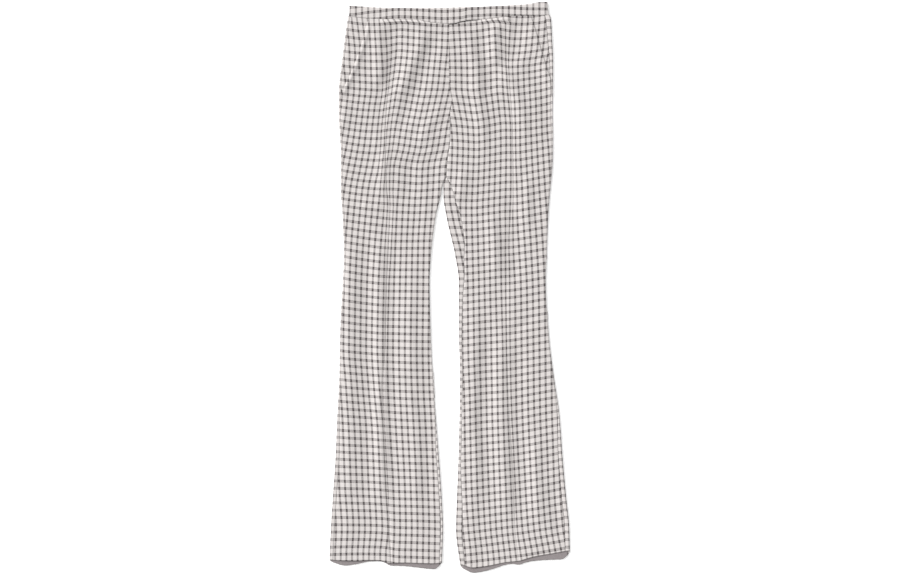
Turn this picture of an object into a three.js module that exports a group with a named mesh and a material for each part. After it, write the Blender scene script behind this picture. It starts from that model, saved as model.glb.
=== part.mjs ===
// Flared trousers in a small woven check, laid flat with the front up.
// Millimetres. X runs to the viewer's right, Y towards the waist, Z up from the surface.
// "down" is the distance below the highest point of the waistband and "across" the distance
// from the centre front line. Right and left are the wearer's, so the right leg is at -X.

import * as THREE from 'three';

const LENGTH = 1101.5;
const CLOTH = 1.2;
const BAND_CLOTH = 2;
const FACING_CLOTH = 1;
const SEAM_GAP = 0.3;
const EDGE_SEAM_EXTRA = 0.12;

const WAIST_DOWN = 35;
const HEM_DOWN = 1080;
const CROTCH_DOWN = 336;
const WAIST_BLEND = 70;
const HEM_BLEND = 120;

const FOLD_RADIUS = 3;
const BAND_TOP = 5.8;
const BAND_LAP_RISE = 2.35;
const BAND_UNDERLAP = 30;
const BAND_FOLD_RADIUS = 3.4;
const BAND_FIRST_COLUMN = 3.7;
const FLY_UNDERLAP = 12;
const FLY_END_DOWN = 191;
const LAP_RISE = 0.9;
const LAP_SINK = 0.65;
const LAP_SPREAD = 26;

const MOUTH_RISE = 1.1;
const MOUTH_SPREAD = 20;
const MOUTH_UNDERLAP = 14;
const FACING_END_DOWN = 196;

const CREASE_HEIGHT = 1.5;
const CREASE_SPREAD = 5.5;
const WAIST_ROLL_HEIGHT = 1;
const WAIST_ROLL_DOWN = 5;
const HEM_FACING_DEPTH = 38;

// Where the columns of a front stand between the inner edge and the crease.
const INNER_SHARES = [0.2, 0.42, 0.64, 0.82];

const CHECK_COLOR = 0xbfbab6;
const FACING_COLOR = 0x9c9094;

function table(names, rows) {
  return rows.map((row) => Object.fromEntries(names.map((name, i) => [name, row[i]])));
}

// Where each section's folds, creases and edges lie across, a row for each section down.
const SECTIONS = table(
  ['down', 'rightOuter', 'rightCrease', 'rightInner', 'leftInner', 'leftCrease', 'leftOuter'],
  [
    [0, -192.4, -104.5, 0, 0, 103.6, 188.8],
    [27, -194, -106, 0, 0, 103.4, 192],
    [43, -196.9, -107.1, 0, 0, 103.3, 195.9],
    [73, -201.7, -111.9, -0.4, -0.4, 102.9, 197.8],
    [112, -206.8, -114.8, -1, -1, 103.8, 199.9],
    [166, -213.1, -118.7, 1, 1, 109.6, 199.8],
    [191, -213.6, -120.4, 5.2, 5.2, 112.8, 199.2],
    [214, -213.7, -121.8, 1.5, 1.5, 115.2, 198.8],
    [257, -211.3, -123.3, 1.7, 1.7, 120.2, 199.8],
    [305, -209.4, -123.7, -3.7, -3.7, 122.5, 199.2],
    [336, -209.4, -123.3, -6, -6, 122.9, 197.2],
    [352, -209.4, -123, -12.7, -11.4, 122.9, 195.6],
    [376, -208.9, -122.6, -17.2, -11.4, 122.9, 193.3],
    [413, -206.3, -121.9, -26.1, -6.2, 119, 190.6],
    [490, -203.6, -120.4, -35.7, 11, 110.7, 187.6],
    [540, -205.9, -119.3, -38.4, 17.9, 110.2, 185.8],
    [645, -211.3, -118.5, -35.7, 18.3, 112.2, 192],
    [722, -212.5, -118.1, -31.8, 20.3, 114.4, 201.3],
    [799, -216.5, -118.1, -26.6, 19.3, 117.5, 212.3],
    [876, -219.6, -118.1, -20.7, 17.4, 122.2, 217.9],
    [953, -224.8, -118.1, -15.2, 14.5, 125.2, 224.8],
    [1015, -228.7, -117.9, -12.5, 12.5, 127.3, 230.6],
    [1080, -231.6, -114.5, -14.5, 20.5, 134, 232.2],
  ],
);

// How far the back panels come round the side folds on to the front.
const WRAPS = table(
  ['down', 'rightOuter', 'rightInner', 'leftInner', 'leftOuter'],
  [
    [27, 4, 0, 0, 11],
    [112, 4, 0, 0, 7],
    [190, 4, 0, 0, 4],
    [336, 4, 0, 0, 2],
    [341, 4, 0, 4, 2],
    [352, 4, 0, 13.5, 2],
    [376, 4, 0, 21, 2],
    [420, 4, 0, 27.8, 1],
    [460, 4, 0, 24.3, 0.5],
    [502, 4, 0, 15.2, 0],
    [575, 3.5, 0, 7.7, 0],
    [700, 3, 0, 5.2, 0.5],
    [800, 4.5, 1, 5, 4],
    [876, 7.5, 4.5, 5, 8],
    [1004, 7.5, 4.5, 12.4, 9],
    [1080, 7.5, 4.5, 9.3, 9],
  ],
);

// The slant pocket mouths: how far in from the hip edge each one runs.
const POCKET_MOUTHS = table(
  ['down', 'right', 'left'],
  [
    [30, 41, 40],
    [43, 38.5, 36.7],
    [74, 34.8, 28],
    [112, 26.5, 17.6],
    [131, 21.9, 11.5],
    [150, 15.6, 5],
    [178, 4, 0],
  ],
);

// Height of the laid stack of cloth, without its folds.
const HEIGHTS = table(
  ['down', 'top'],
  [
    [0, 5.3],
    [220, 5.2],
    [336, 4.9],
    [480, 4.7],
    [1080, 4.8],
  ],
);

const BAND_EDGES = table(
  ['across', 'top', 'seam'],
  [
    [-194, 7.5, 28.6],
    [-167, 9.5, 31.4],
    [-123, 11.6, 33.8],
    [-65, 12.3, 34.4],
    [-38, 12.2, 39.6],
    [0, 11.6, 42.9],
    [11, 11.4, 42.1],
    [20, 11.1, 39.4],
    [43, 10.5, 35.5],
    [61, 9.9, 34.6],
    [94, 8.3, 30.9],
    [127, 6.3, 27.5],
    [150, 4.7, 27],
    [175, 0.8, 26.5],
    [192, 0, 26.2],
  ],
);

const HEM_RIGHT = table(
  ['across', 'front', 'back'],
  [
    [-231.6, 1075, 1078.1],
    [-221, 1076.3, 1082.7],
    [-202, 1077.4, 1087.7],
    [-178, 1078.3, 1084.6],
    [-155, 1076.7, 1079.9],
    [-136, 1077, 1079.2],
    [-124, 1079.6, 1082.4],
    [-115, 1082.7, 1087.7],
    [-90, 1081.4, 1088.5],
    [-58, 1082.2, 1091.8],
    [-29, 1082.8, 1094.3],
    [-14.5, 1081, 1083],
  ],
);

const HEM_LEFT = table(
  ['across', 'front', 'back'],
  [
    [20, 1082.7, 1088.8],
    [30, 1087, 1095.5],
    [46, 1091, 1101.5],
    [65, 1089.3, 1098.9],
    [89, 1084.7, 1092.6],
    [106, 1081.2, 1086.8],
    [122, 1079.2, 1084.5],
    [134, 1078, 1086.1],
    [143, 1075.5, 1083],
    [161, 1070.2, 1078.9],
    [193, 1064.6, 1076.6],
    [216, 1060.4, 1075.8],
    [232.2, 1057.6, 1063.8],
  ],
);

// Ridges (height above 0) and troughs (below 0) of the laid cloth, each along a straight run.
const FOLDS = table(
  ['name', 'fromDown', 'fromAcross', 'toDown', 'toAcross', 'spread', 'height'],
  [
    ['right crease gutter, outer', 150, -131, 330, -135, 6, -0.7],
    ['right crease gutter, inner', 160, -112, 320, -113, 5, -0.5],
    ['right inner thigh ridge', 266, -34, 452, -53, 8, 0.9],
    ['right hip bulge', 330, -160, 410, -148, 26, 0.7],
    ['right outer calf trough', 580, -184, 960, -190, 13, -0.8],
    ['right drag line, high', 190, -4, 165, -70, 6, 0.7],
    ['right drag line, low', 202, -6, 262, -78, 8, -0.6],
    ['right hem wave', 980, -60, 1080, -45, 16, 0.8],
    ['right outer hem wave', 990, -190, 1080, -202, 14, 0.7],
    ['left drag line, high', 188, 12, 160, 66, 6, 0.7],
    ['left drag line, low', 204, 10, 268, 80, 8, -0.6],
    ['left dent under the band', 62, 107, 76, 107, 9, -0.7],
    ['left thigh bulge', 400, 60, 470, 58, 24, 0.7],
    ['left dent at the crease', 466, 117, 482, 113, 10, -0.9],
    ['left knee bulge', 600, 88, 680, 96, 18, 0.5],
    ['left inner calf trough', 690, 58, 1060, 60, 13, -0.8],
    ['left hem wave', 990, 40, 1085, 46, 13, 1],
    ['left outer hem wave', 980, 190, 1060, 205, 15, 0.7],
  ],
);

// The stations of the long panels. They are closer where the cloth turns or folds.
const PANEL_DOWNS = [
  35, 38, 42, 48, 60, 82, 108, 132, 156, 176, 190, 202, 220, 250, 290, 322, 336, 341, 352, 368, 390,
  420, 460, 510, 575, 650, 730, 815, 900, 970, 1025, 1058, 1080,
];
const FACING_DOWNS = [35, 38, 42, 48, 60, 82, 108, 132, 156, 176, FACING_END_DOWN];

function clamp01(value) {
  return Math.min(1, Math.max(0, value));
}

function ease(value) {
  const t = clamp01(value);
  return t * t * (3 - 2 * t);
}

function bump(distance, spread) {
  return Math.exp(-((distance / spread) ** 2));
}

// A smooth curve through two columns of a table that never overshoots its rows.
function curve(rows, from, to) {
  const x = rows.map((row) => row[from]);
  const y = rows.map((row) => row[to]);
  const last = x.length - 1;
  const chord = (i) => (y[i + 1] - y[i]) / (x[i + 1] - x[i]);
  const slopes = x.map((_, i) => {
    if (i === 0) {
      return chord(0);
    }
    if (i === last) {
      return chord(last - 1);
    }
    const before = chord(i - 1);
    const after = chord(i);
    return before * after <= 0 ? 0 : (2 * before * after) / (before + after);
  });
  return (value) => {
    if (value <= x[0]) {
      return y[0];
    }
    if (value >= x[last]) {
      return y[last];
    }
    const i = x.findIndex((limit) => value < limit) - 1;
    const width = x[i + 1] - x[i];
    const t = (value - x[i]) / width;
    const rest = 1 - t;
    return (
      y[i] * rest * rest * (1 + 2 * t) +
      slopes[i] * width * t * rest * rest +
      y[i + 1] * t * t * (3 - 2 * t) -
      slopes[i + 1] * width * t * t * rest
    );
  };
}

const stackTop = curve(HEIGHTS, 'down', 'top');
const bandTopDown = curve(BAND_EDGES, 'across', 'top');
const bandSeamDown = curve(BAND_EDGES, 'across', 'seam');

function makeSide(name, outward, hem) {
  return {
    outward,
    outer: curve(SECTIONS, 'down', `${name}Outer`),
    inner: curve(SECTIONS, 'down', `${name}Inner`),
    crease: curve(SECTIONS, 'down', `${name}Crease`),
    outerWrap: curve(WRAPS, 'down', `${name}Outer`),
    innerWrap: curve(WRAPS, 'down', `${name}Inner`),
    mouth: curve(POCKET_MOUTHS, 'down', name),
    frontHem: curve(hem, 'across', 'front'),
    backHem: curve(hem, 'across', 'back'),
  };
}

const RIGHT = makeSide('right', -1, HEM_RIGHT);
const LEFT = makeSide('left', 1, HEM_LEFT);

function distanceToRun(fold, down, across) {
  const runDown = fold.toDown - fold.fromDown;
  const runAcross = fold.toAcross - fold.fromAcross;
  const along =
    ((down - fold.fromDown) * runDown + (across - fold.fromAcross) * runAcross) /
    (runDown * runDown + runAcross * runAcross);
  const t = clamp01(along);
  return Math.hypot(down - fold.fromDown - t * runDown, across - fold.fromAcross - t * runAcross);
}

function foldRelief(down, across) {
  return FOLDS.reduce(
    (sum, fold) => sum + fold.height * bump(distanceToRun(fold, down, across), fold.spread),
    0,
  );
}

function creaseRelief(side, down, across) {
  const fade = ease((down - 60) / 90);
  const away = Math.abs(across - side.crease(down));
  return CREASE_HEIGHT * fade * Math.exp(-away / CREASE_SPREAD);
}

function waistRoll(down, across) {
  const onRight = ease((across + 158) / 14) * ease((-42 - across) / 14);
  const onLeft = ease((across - 56) / 12) * ease((124 - across) / 12);
  return WAIST_ROLL_HEIGHT * (onRight + onLeft) * bump(down - WAIST_DOWN - WAIST_ROLL_DOWN, 4);
}

// The upper surface of the laid front, before laps and pocket mouths.
function plainTop(side, down, across) {
  return (
    stackTop(down) +
    foldRelief(down, across) +
    creaseRelief(side, down, across) +
    waistRoll(down, across)
  );
}

function flyFade(down) {
  return 1 - ease((down - FLY_END_DOWN + 12) / 24);
}

function lapChange(side, down, across) {
  const amount = side === LEFT ? LAP_RISE : -LAP_SINK;
  return amount * flyFade(down) * bump(across - side.inner(down), LAP_SPREAD);
}

// The pocket lip stands up along the mouth, where the front panel crosses the hip piece.
function mouthRise(side, down, across) {
  const inside = Math.abs(side.outer(down) - across) - side.mouth(down);
  const open = side === RIGHT ? 1 : 0.9;
  return MOUTH_RISE * open * (1 - ease((down - 168) / 26)) * bump(Math.max(0, inside), MOUTH_SPREAD);
}

function frontTop(side, down, across) {
  return (
    plainTop(side, down, across) + lapChange(side, down, across) + mouthRise(side, down, across)
  );
}

// One section of a leg is a flattened loop. u runs from the inner fold, 0, to the outer fold,
// and the folds are quarter ellipses above and below. Above the crotch the inner fold is open.
function makeSection(side, down) {
  const inner = side.inner(down);
  const outer = side.outer(down);
  const top = stackTop(down);
  const quarter = (Math.PI / 2) * Math.sqrt((FOLD_RADIUS ** 2 + (top / 2) ** 2) / 2);
  const flat = Math.abs(outer - inner) - 2 * FOLD_RADIUS;
  return {
    side,
    down,
    inner,
    outer,
    top,
    quarter,
    length: flat + 2 * quarter,
    open: down <= CROTCH_DOWN,
  };
}

function wrapLength(section, wrap) {
  if (wrap >= FOLD_RADIUS) {
    return section.quarter + wrap - FOLD_RADIUS;
  }
  return (section.quarter * 2 * Math.acos(1 - wrap / FOLD_RADIUS)) / Math.PI;
}

// Across and height of a point on the loop, with height given by the surface's own function.
function loopPoint(section, u, upper, surface) {
  const { side, inner, outer, quarter, length, top } = section;
  const half = top / 2;
  const fromOuter = length - u;
  const nearInner = u < quarter;
  const nearOuter = fromOuter < quarter;
  let across = inner + side.outward * (FOLD_RADIUS + u - quarter);
  let rise = 1;
  if (nearInner) {
    const part = Math.max(0, u) / quarter;
    if (section.open) {
      across = inner + side.outward * FOLD_RADIUS * part;
    } else {
      across = inner + side.outward * FOLD_RADIUS * (1 - Math.cos((part * Math.PI) / 2));
      rise = Math.sin((part * Math.PI) / 2);
    }
  }
  if (nearOuter) {
    const part = Math.max(0, fromOuter) / quarter;
    across = outer - side.outward * FOLD_RADIUS * (1 - Math.cos((part * Math.PI) / 2));
    rise = Math.sin((part * Math.PI) / 2);
  }
  const height = upper ? half + (surface(across) - half) * rise : half - half * rise;
  return { across, height };
}

function waistShift(down, target) {
  return (target - WAIST_DOWN) * (1 - ease((down - WAIST_DOWN) / WAIST_BLEND));
}

function hemShift(down, target) {
  return (target - HEM_DOWN) * (1 - ease((HEM_DOWN - down) / HEM_BLEND));
}

function backWaistSeam(across) {
  const t = clamp01((across + 194) / 386);
  return bandSeamDown(-194) * (1 - t) + bandSeamDown(192) * t;
}

// How far down a nominal station really lies, with the waist seam and the hem line followed.
function stationDown(side, down, across, backShare) {
  const frontSeam = bandSeamDown(across);
  const seam = frontSeam + (backWaistSeam(across) - frontSeam) * backShare + SEAM_GAP / 2;
  const frontHem = side.frontHem(across);
  const hem = frontHem + (side.backHem(across) - frontHem) * backShare;
  return down + waistShift(down, seam) + hemShift(down, hem);
}

function toVector(point) {
  return new THREE.Vector3(point.across, LENGTH / 2 - point.down, point.height);
}

// The directions of a row at its points, each from the chords on both sides of the point.
function rowDirections(row) {
  const chords = row.slice(1).map((point, i) => {
    const across = point.across - row[i].across;
    const height = point.height - row[i].height;
    const size = Math.hypot(across, height);
    return { size, across: across / size, height: height / size };
  });
  const mix = (a, b, share) => ({
    across: a.across + (b.across - a.across) * share,
    height: a.height + (b.height - a.height) * share,
  });
  const last = chords.length - 1;
  return row.map((_, i) => {
    if (i === 0) {
      return mix(chords[0], chords[1], -chords[0].size / (chords[0].size + chords[1].size));
    }
    const before = chords[i - 1];
    if (i > last) {
      const previous = chords[last - 1];
      return mix(before, previous, -before.size / (before.size + previous.size));
    }
    return mix(before, chords[i], before.size / (before.size + chords[i].size));
  });
}

// The inner points of a wall: the outer ones moved in by its thickness, square to their row.
function thicken(row, thickness, flip) {
  const directions = rowDirections(row);
  return row.map((point, i) => {
    const { across, height } = directions[i];
    const size = Math.hypot(across, height) * flip;
    return {
      across: point.across + (height / size) * thickness,
      down: point.down,
      height: point.height - (across / size) * thickness,
    };
  });
}

// A closed wall from rows of outer points and rows of inner points.
function makeWall(name, outerRows, innerRows, color, roughness) {
  const rowCount = outerRows.length;
  const columnCount = outerRows[0].length;
  const positions = [];
  for (const rows of [outerRows, innerRows]) {
    for (const row of rows) {
      for (const point of row) {
        positions.push(...toVector(point).toArray());
      }
    }
  }
  const indexOf = (layer, row, column) => (layer * rowCount + row) * columnCount + column;
  const triangles = [];
  const addQuad = (a, b, c, d) => triangles.push([a, b, c], [a, c, d]);
  for (let row = 0; row < rowCount - 1; row += 1) {
    for (let column = 0; column < columnCount - 1; column += 1) {
      addQuad(
        indexOf(0, row, column),
        indexOf(0, row + 1, column),
        indexOf(0, row + 1, column + 1),
        indexOf(0, row, column + 1),
      );
      addQuad(
        indexOf(1, row, column),
        indexOf(1, row, column + 1),
        indexOf(1, row + 1, column + 1),
        indexOf(1, row + 1, column),
      );
    }
  }
  const rim = [];
  for (let column = 0; column < columnCount - 1; column += 1) {
    rim.push([0, column]);
  }
  for (let row = 0; row < rowCount - 1; row += 1) {
    rim.push([row, columnCount - 1]);
  }
  for (let column = columnCount - 1; column > 0; column -= 1) {
    rim.push([rowCount - 1, column]);
  }
  for (let row = rowCount - 1; row > 0; row -= 1) {
    rim.push([row, 0]);
  }
  rim.forEach(([row, column], i) => {
    const [nextRow, nextColumn] = rim[(i + 1) % rim.length];
    addQuad(
      indexOf(0, row, column),
      indexOf(0, nextRow, nextColumn),
      indexOf(1, nextRow, nextColumn),
      indexOf(1, row, column),
    );
  });
  const corner = (index) => new THREE.Vector3().fromArray(positions, index * 3);
  const volume = triangles.reduce((sum, [a, b, c]) => {
    return sum + corner(a).dot(corner(b).cross(corner(c)));
  }, 0);
  const facingOut = volume > 0 ? triangles : triangles.map(([a, b, c]) => [a, c, b]);
  const geometry = new THREE.BufferGeometry();
  geometry.setAttribute('position', new THREE.Float32BufferAttribute(positions, 3));
  geometry.setIndex(facingOut.flat());
  geometry.computeVertexNormals();
  const material = new THREE.MeshStandardMaterial({ color, roughness, metalness: 0 });
  const mesh = new THREE.Mesh(geometry, material);
  mesh.name = name;
  return mesh;
}

// Half the gap at a seam. It is a little more where the seam lies right on the fold.
function halfGap(wrap) {
  return SEAM_GAP / 2 + EDGE_SEAM_EXTRA * (1 - clamp01(wrap / 2));
}

// Columns in rising order, kept at least a little apart where a group closes up.
function spaced(values) {
  const columns = [];
  for (const value of values) {
    const previous = columns[columns.length - 1];
    columns.push(columns.length === 0 ? value : Math.max(value, previous + 0.3));
  }
  return columns;
}

function frontColumns(section) {
  const { side, down, quarter, length } = section;
  const innerWrap = side.innerWrap(down);
  const outerWrap = side.outerWrap(down);
  const lap = side === RIGHT ? FLY_UNDERLAP * (1 - ease((down - 150) / 22)) : 0;
  const openGap = ((SEAM_GAP / 2) * quarter) / FOLD_RADIUS;
  const closedStart = wrapLength(section, innerWrap) + halfGap(innerWrap);
  const start = section.open ? openGap : closedStart;
  const edge = down < 178 ? Math.max(side.mouth(down), outerWrap) : outerWrap;
  const end = length - wrapLength(section, edge) - halfGap(edge);
  const toLoop = (across) => Math.abs(across - section.inner) - FOLD_RADIUS + quarter;
  const crease = toLoop(side.crease(down));
  const innerFlat = Math.max(quarter * 1.15, start + 1.2);
  const outerFlat = Math.min(length - quarter * 1.15, end - 1.2);
  const innerSpan = crease - innerFlat;
  const outerSpan = outerFlat - crease;
  const rising = spaced([
    start,
    quarter * 0.35,
    quarter * 0.7,
    innerFlat,
    ...INNER_SHARES.map((share) => innerFlat + innerSpan * share),
    crease - Math.min(5, innerSpan * 0.08),
    crease,
  ]);
  const falling = spaced([
    -end,
    -(length - quarter * 0.35),
    -(length - quarter * 0.7),
    -outerFlat,
    -(outerFlat - outerSpan * 0.2),
    -(outerFlat - outerSpan * 0.42),
    -(outerFlat - outerSpan * 0.66),
    -(crease + Math.min(5, outerSpan * 0.1)),
  ]);
  return { lap, columns: [...rising, ...falling.map((value) => -value).reverse()] };
}

function frontPanel(name, side) {
  const rows = PANEL_DOWNS.map((down) => {
    const section = makeSection(side, down);
    const { lap, columns } = frontColumns(section);
    return columns.map((u, i) => {
      const { across, height } = loopPoint(section, u, true, (x) => frontTop(side, down, x));
      const shifted = across - side.outward * lap * (1 - i / 4) * (i < 4 ? 1 : 0);
      return { across: shifted, down: stationDown(side, down, across, 0), height };
    });
  });
  const inner = rows.map((row) => thicken(row, CLOTH, side.outward));
  return makeWall(name, rows, inner, CHECK_COLOR, 0.92);
}

// The back panel's path round the loop. Values below 0 lie on the front inside the inner fold,
// 0 to the loop's length lie underneath, and values past that lie on the front at the outer fold.
function backColumns(section) {
  const { side, down, quarter, length } = section;
  const innerWrap = side.innerWrap(down);
  const outerWrap = side.outerWrap(down);
  const openGap = ((SEAM_GAP / 2) * quarter) / FOLD_RADIUS;
  const closedStart = halfGap(innerWrap) - wrapLength(section, innerWrap);
  const start = section.open ? openGap : closedStart;
  const end = wrapLength(section, outerWrap) - halfGap(outerWrap);
  const innerTop = Math.max(start, -quarter);
  const outerTop = Math.min(end, quarter);
  const flat = length - 2 * quarter;
  const shares = [0.08, 0.2, 0.34, 0.48, 0.6, 0.74, 0.88];
  const rising = spaced([
    start,
    (start + innerTop) / 2,
    innerTop,
    innerTop * 0.5,
    0,
    quarter * 0.5,
    quarter,
  ]);
  const falling = spaced([
    -(length + end),
    -(length + (end + outerTop) / 2),
    -(length + outerTop),
    -(length + outerTop * 0.5),
    -length,
    -(length - quarter * 0.5),
    -(length - quarter),
  ]);
  return [
    ...rising,
    ...shares.map((share) => quarter + flat * share),
    ...falling.map((value) => -value).reverse(),
  ];
}

function backPoint(section, path) {
  const { side, down, quarter, length, open } = section;
  const surface = (x) => plainTop(side, down, x);
  if (path < 0) {
    const point = loopPoint(section, -path, true, surface);
    return { ...point, backShare: 0.5 - 0.5 * clamp01(-path / quarter) };
  }
  if (path > length) {
    const point = loopPoint(section, 2 * length - path, true, surface);
    return { ...point, backShare: 0.5 - 0.5 * clamp01((path - length) / quarter) };
  }
  const point = loopPoint(section, path, false, surface);
  const innerShare = open ? 1 : 0.5 + 0.5 * clamp01(path / quarter);
  const outerShare = 0.5 + 0.5 * clamp01((length - path) / quarter);
  return { ...point, backShare: Math.min(innerShare, outerShare) };
}

function backPanel(name, side) {
  const rows = PANEL_DOWNS.map((down) => {
    const section = makeSection(side, down);
    return backColumns(section).map((path) => {
      const { across, height, backShare } = backPoint(section, path);
      return { across, down: stationDown(side, down, across, backShare), height };
    });
  });
  const inner = rows.map((row) => thicken(row, CLOTH, -side.outward));
  return makeWall(name, rows, inner, CHECK_COLOR, 0.92);
}

// The hip piece shows between the pocket mouth and the side seam, and runs on under the lip.
function pocketFacing(name, side) {
  const rows = FACING_DOWNS.map((down) => {
    const section = makeSection(side, down);
    const { quarter, length } = section;
    const mouth = Math.max(side.mouth(down), side.outerWrap(down) + 0.5);
    const tuckedIn = 4 * ease((down - 165) / 12);
    const seam = wrapLength(section, side.outerWrap(down)) + SEAM_GAP / 2 + tuckedIn;
    const lip = quarter - FOLD_RADIUS + mouth;
    const under = lip + MOUTH_UNDERLAP;
    const columns = spaced([
      seam,
      seam + (lip - seam) * 0.3,
      seam + (lip - seam) * 0.65,
      lip - 0.6,
      lip + 1,
      lip + MOUTH_UNDERLAP / 2,
      under,
    ]);
    return columns.map((fromOuter) => {
      const surface = (x) => {
        const inside = Math.abs(side.outer(down) - x) - mouth;
        const below = frontTop(side, down, x) - CLOTH - SEAM_GAP;
        const free = plainTop(side, down, x);
        const tucked = ease((down - 150) / 30);
        return below + (free - below) * ease(-inside / 12) * (1 - tucked);
      };
      const { across, height } = loopPoint(section, length - fromOuter, true, surface);
      return { across, down: stationDown(side, down, across, 0), height };
    });
  });
  const inner = rows.map((row) => thicken(row, CLOTH, -side.outward));
  return makeWall(name, rows, inner, CHECK_COLOR, 0.92);
}

// Each half of the waistband runs from the centre front round the side to the centre back.
// The right half's front points stand over the columns of the panel that hangs from it.
function waistband(name, side) {
  const toCrease = side.crease(WAIST_DOWN) + BAND_FIRST_COLUMN;
  const overPanel = INNER_SHARES.map((share) => toCrease * share - BAND_FIRST_COLUMN);
  const rightFronts = [BAND_UNDERLAP, 15, 0, -BAND_FIRST_COLUMN, ...overPanel, -106.5, -150, -172];
  const leftFronts = [-1, 11, 20, 32, 43, 61, 80, 94, 111, 127, 150, 170];
  const shares = [0, 0.35, 0.7, 1];
  const rows = shares.map((share) => {
    const down = 27 * share;
    const outer = side.outer(down);
    const half = BAND_TOP / 2;
    const points = [];
    const flatEnd = outer - side.outward * BAND_FOLD_RADIUS;
    const place = (across, height, isBack) => {
      const seam = isBack ? backWaistSeam(across) : bandSeamDown(across);
      const top = bandTopDown(across) + (isBack ? 1 : 0);
      const tucked = side === RIGHT && across > 0 ? 2 : 0;
      const fullSeam = seam - SEAM_GAP / 2 - tucked;
      points.push({ across, down: top + (fullSeam - top) * share, height });
    };
    for (const across of side === RIGHT ? rightFronts : leftFronts) {
      const lap = side === LEFT ? BAND_LAP_RISE * ease((58 - across) / 24) : 0;
      place(across, BAND_TOP + lap, false);
    }
    for (let step = 0; step <= 6; step += 1) {
      const angle = (Math.PI * step) / 6;
      const across = flatEnd + side.outward * BAND_FOLD_RADIUS * Math.sin(angle);
      place(across, half + half * Math.cos(angle), step > 3);
    }
    for (const part of [0.75, 0.5, 0.25, 0]) {
      const centre = (side.outward * SEAM_GAP) / 2;
      place(centre + (flatEnd - centre) * part, 0, true);
    }
    return points;
  });
  const inner = rows.map((row) => thicken(row, BAND_CLOTH, side.outward));
  return makeWall(name, rows, inner, CHECK_COLOR, 0.92);
}

// The strip inside the back hem lies on the back panel and ends just short of its edge.
function hemFacing(name, side) {
  const depths = [1, HEM_FACING_DEPTH / 2, HEM_FACING_DEPTH];
  const floor = CLOTH + SEAM_GAP;
  const rows = depths.map((depth) => {
    const start = side.inner(HEM_DOWN) + side.outward * (FOLD_RADIUS + 1.5);
    const end = side.outer(HEM_DOWN) - side.outward * (FOLD_RADIUS + 1.5);
    const points = [];
    for (let step = 0; step <= 14; step += 1) {
      const across = start + ((end - start) * step) / 14;
      const down = stationDown(side, HEM_DOWN, across, 1) - depth;
      points.push({ across, down, height: floor + FACING_CLOTH });
    }
    return points;
  });
  const inner = rows.map((row) => row.map((point) => ({ ...point, height: floor })));
  return makeWall(name, rows, inner, FACING_COLOR, 0.9);
}

const trousers = new THREE.Group();
trousers.name = 'trousers';
trousers.add(
  frontPanel('front_panel_right', RIGHT),
  frontPanel('front_panel_left', LEFT),
  backPanel('back_panel_right', RIGHT),
  backPanel('back_panel_left', LEFT),
  waistband('waistband_right', RIGHT),
  waistband('waistband_left', LEFT),
  pocketFacing('pocket_facing_right', RIGHT),
  pocketFacing('pocket_facing_left', LEFT),
  hemFacing('hem_facing_right', RIGHT),
  hemFacing('hem_facing_left', LEFT),
);

// The origin is the middle of the footprint, on the surface.
const bounds = new THREE.Box3().setFromObject(trousers);
const middle = bounds.getCenter(new THREE.Vector3());
for (const mesh of trousers.children) {
  mesh.geometry.translate(-middle.x, -middle.y, -bounds.min.z);
}

export default trousers;
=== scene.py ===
"""Flared trousers in a small woven check, laid flat with the front up.

Lengths are in millimetres until a mesh is made. "down" is the distance below the highest point
of the waistband and "across" the distance from the centre front line. Right and left are the
wearer's, so the right leg is on the viewer's left.
"""
import math
from types import SimpleNamespace

import bpy
import numpy as np
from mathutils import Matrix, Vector


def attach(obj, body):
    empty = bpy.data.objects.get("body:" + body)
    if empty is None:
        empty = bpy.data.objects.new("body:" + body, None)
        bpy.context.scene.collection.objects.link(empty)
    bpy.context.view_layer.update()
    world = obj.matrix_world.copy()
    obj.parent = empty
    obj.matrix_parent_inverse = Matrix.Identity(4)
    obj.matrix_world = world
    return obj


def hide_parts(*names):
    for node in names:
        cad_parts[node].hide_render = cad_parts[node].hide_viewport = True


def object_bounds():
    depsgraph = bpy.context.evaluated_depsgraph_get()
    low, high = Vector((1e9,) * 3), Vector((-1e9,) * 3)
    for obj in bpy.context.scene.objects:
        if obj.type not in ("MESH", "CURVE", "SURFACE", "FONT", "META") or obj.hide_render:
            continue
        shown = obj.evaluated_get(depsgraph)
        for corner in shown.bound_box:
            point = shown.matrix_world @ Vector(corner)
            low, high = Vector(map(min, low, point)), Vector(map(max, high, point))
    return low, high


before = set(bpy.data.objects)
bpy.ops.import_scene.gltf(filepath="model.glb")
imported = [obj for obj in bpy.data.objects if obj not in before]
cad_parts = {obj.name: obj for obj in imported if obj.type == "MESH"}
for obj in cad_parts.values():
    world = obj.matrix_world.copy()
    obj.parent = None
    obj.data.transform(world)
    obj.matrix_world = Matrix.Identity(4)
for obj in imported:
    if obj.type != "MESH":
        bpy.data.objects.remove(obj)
cad_low, cad_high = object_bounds()

MM = 0.001

# The cloth and its seams.
CLOTH = 1.1
BAND_CLOTH = 1.9
FACING_CLOTH = 0.9
SOLID_CLOTH = 1.2
EDGE_BULGE = 0.1
SEAM_GAP = 0.3
EDGE_SEAM_EXTRA = 0.12
SEAM_DITCH = 0.45
SEAM_DITCH_SPREAD = 1.6
INNER_DITCH_DOWN = 200
INNER_DITCH_BLEND = 30

# The long panels' own stations.
WAIST_DOWN = 35
HEM_DOWN = 1080
CROTCH_DOWN = 336
WAIST_BLEND = 70
HEM_BLEND = 120

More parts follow.
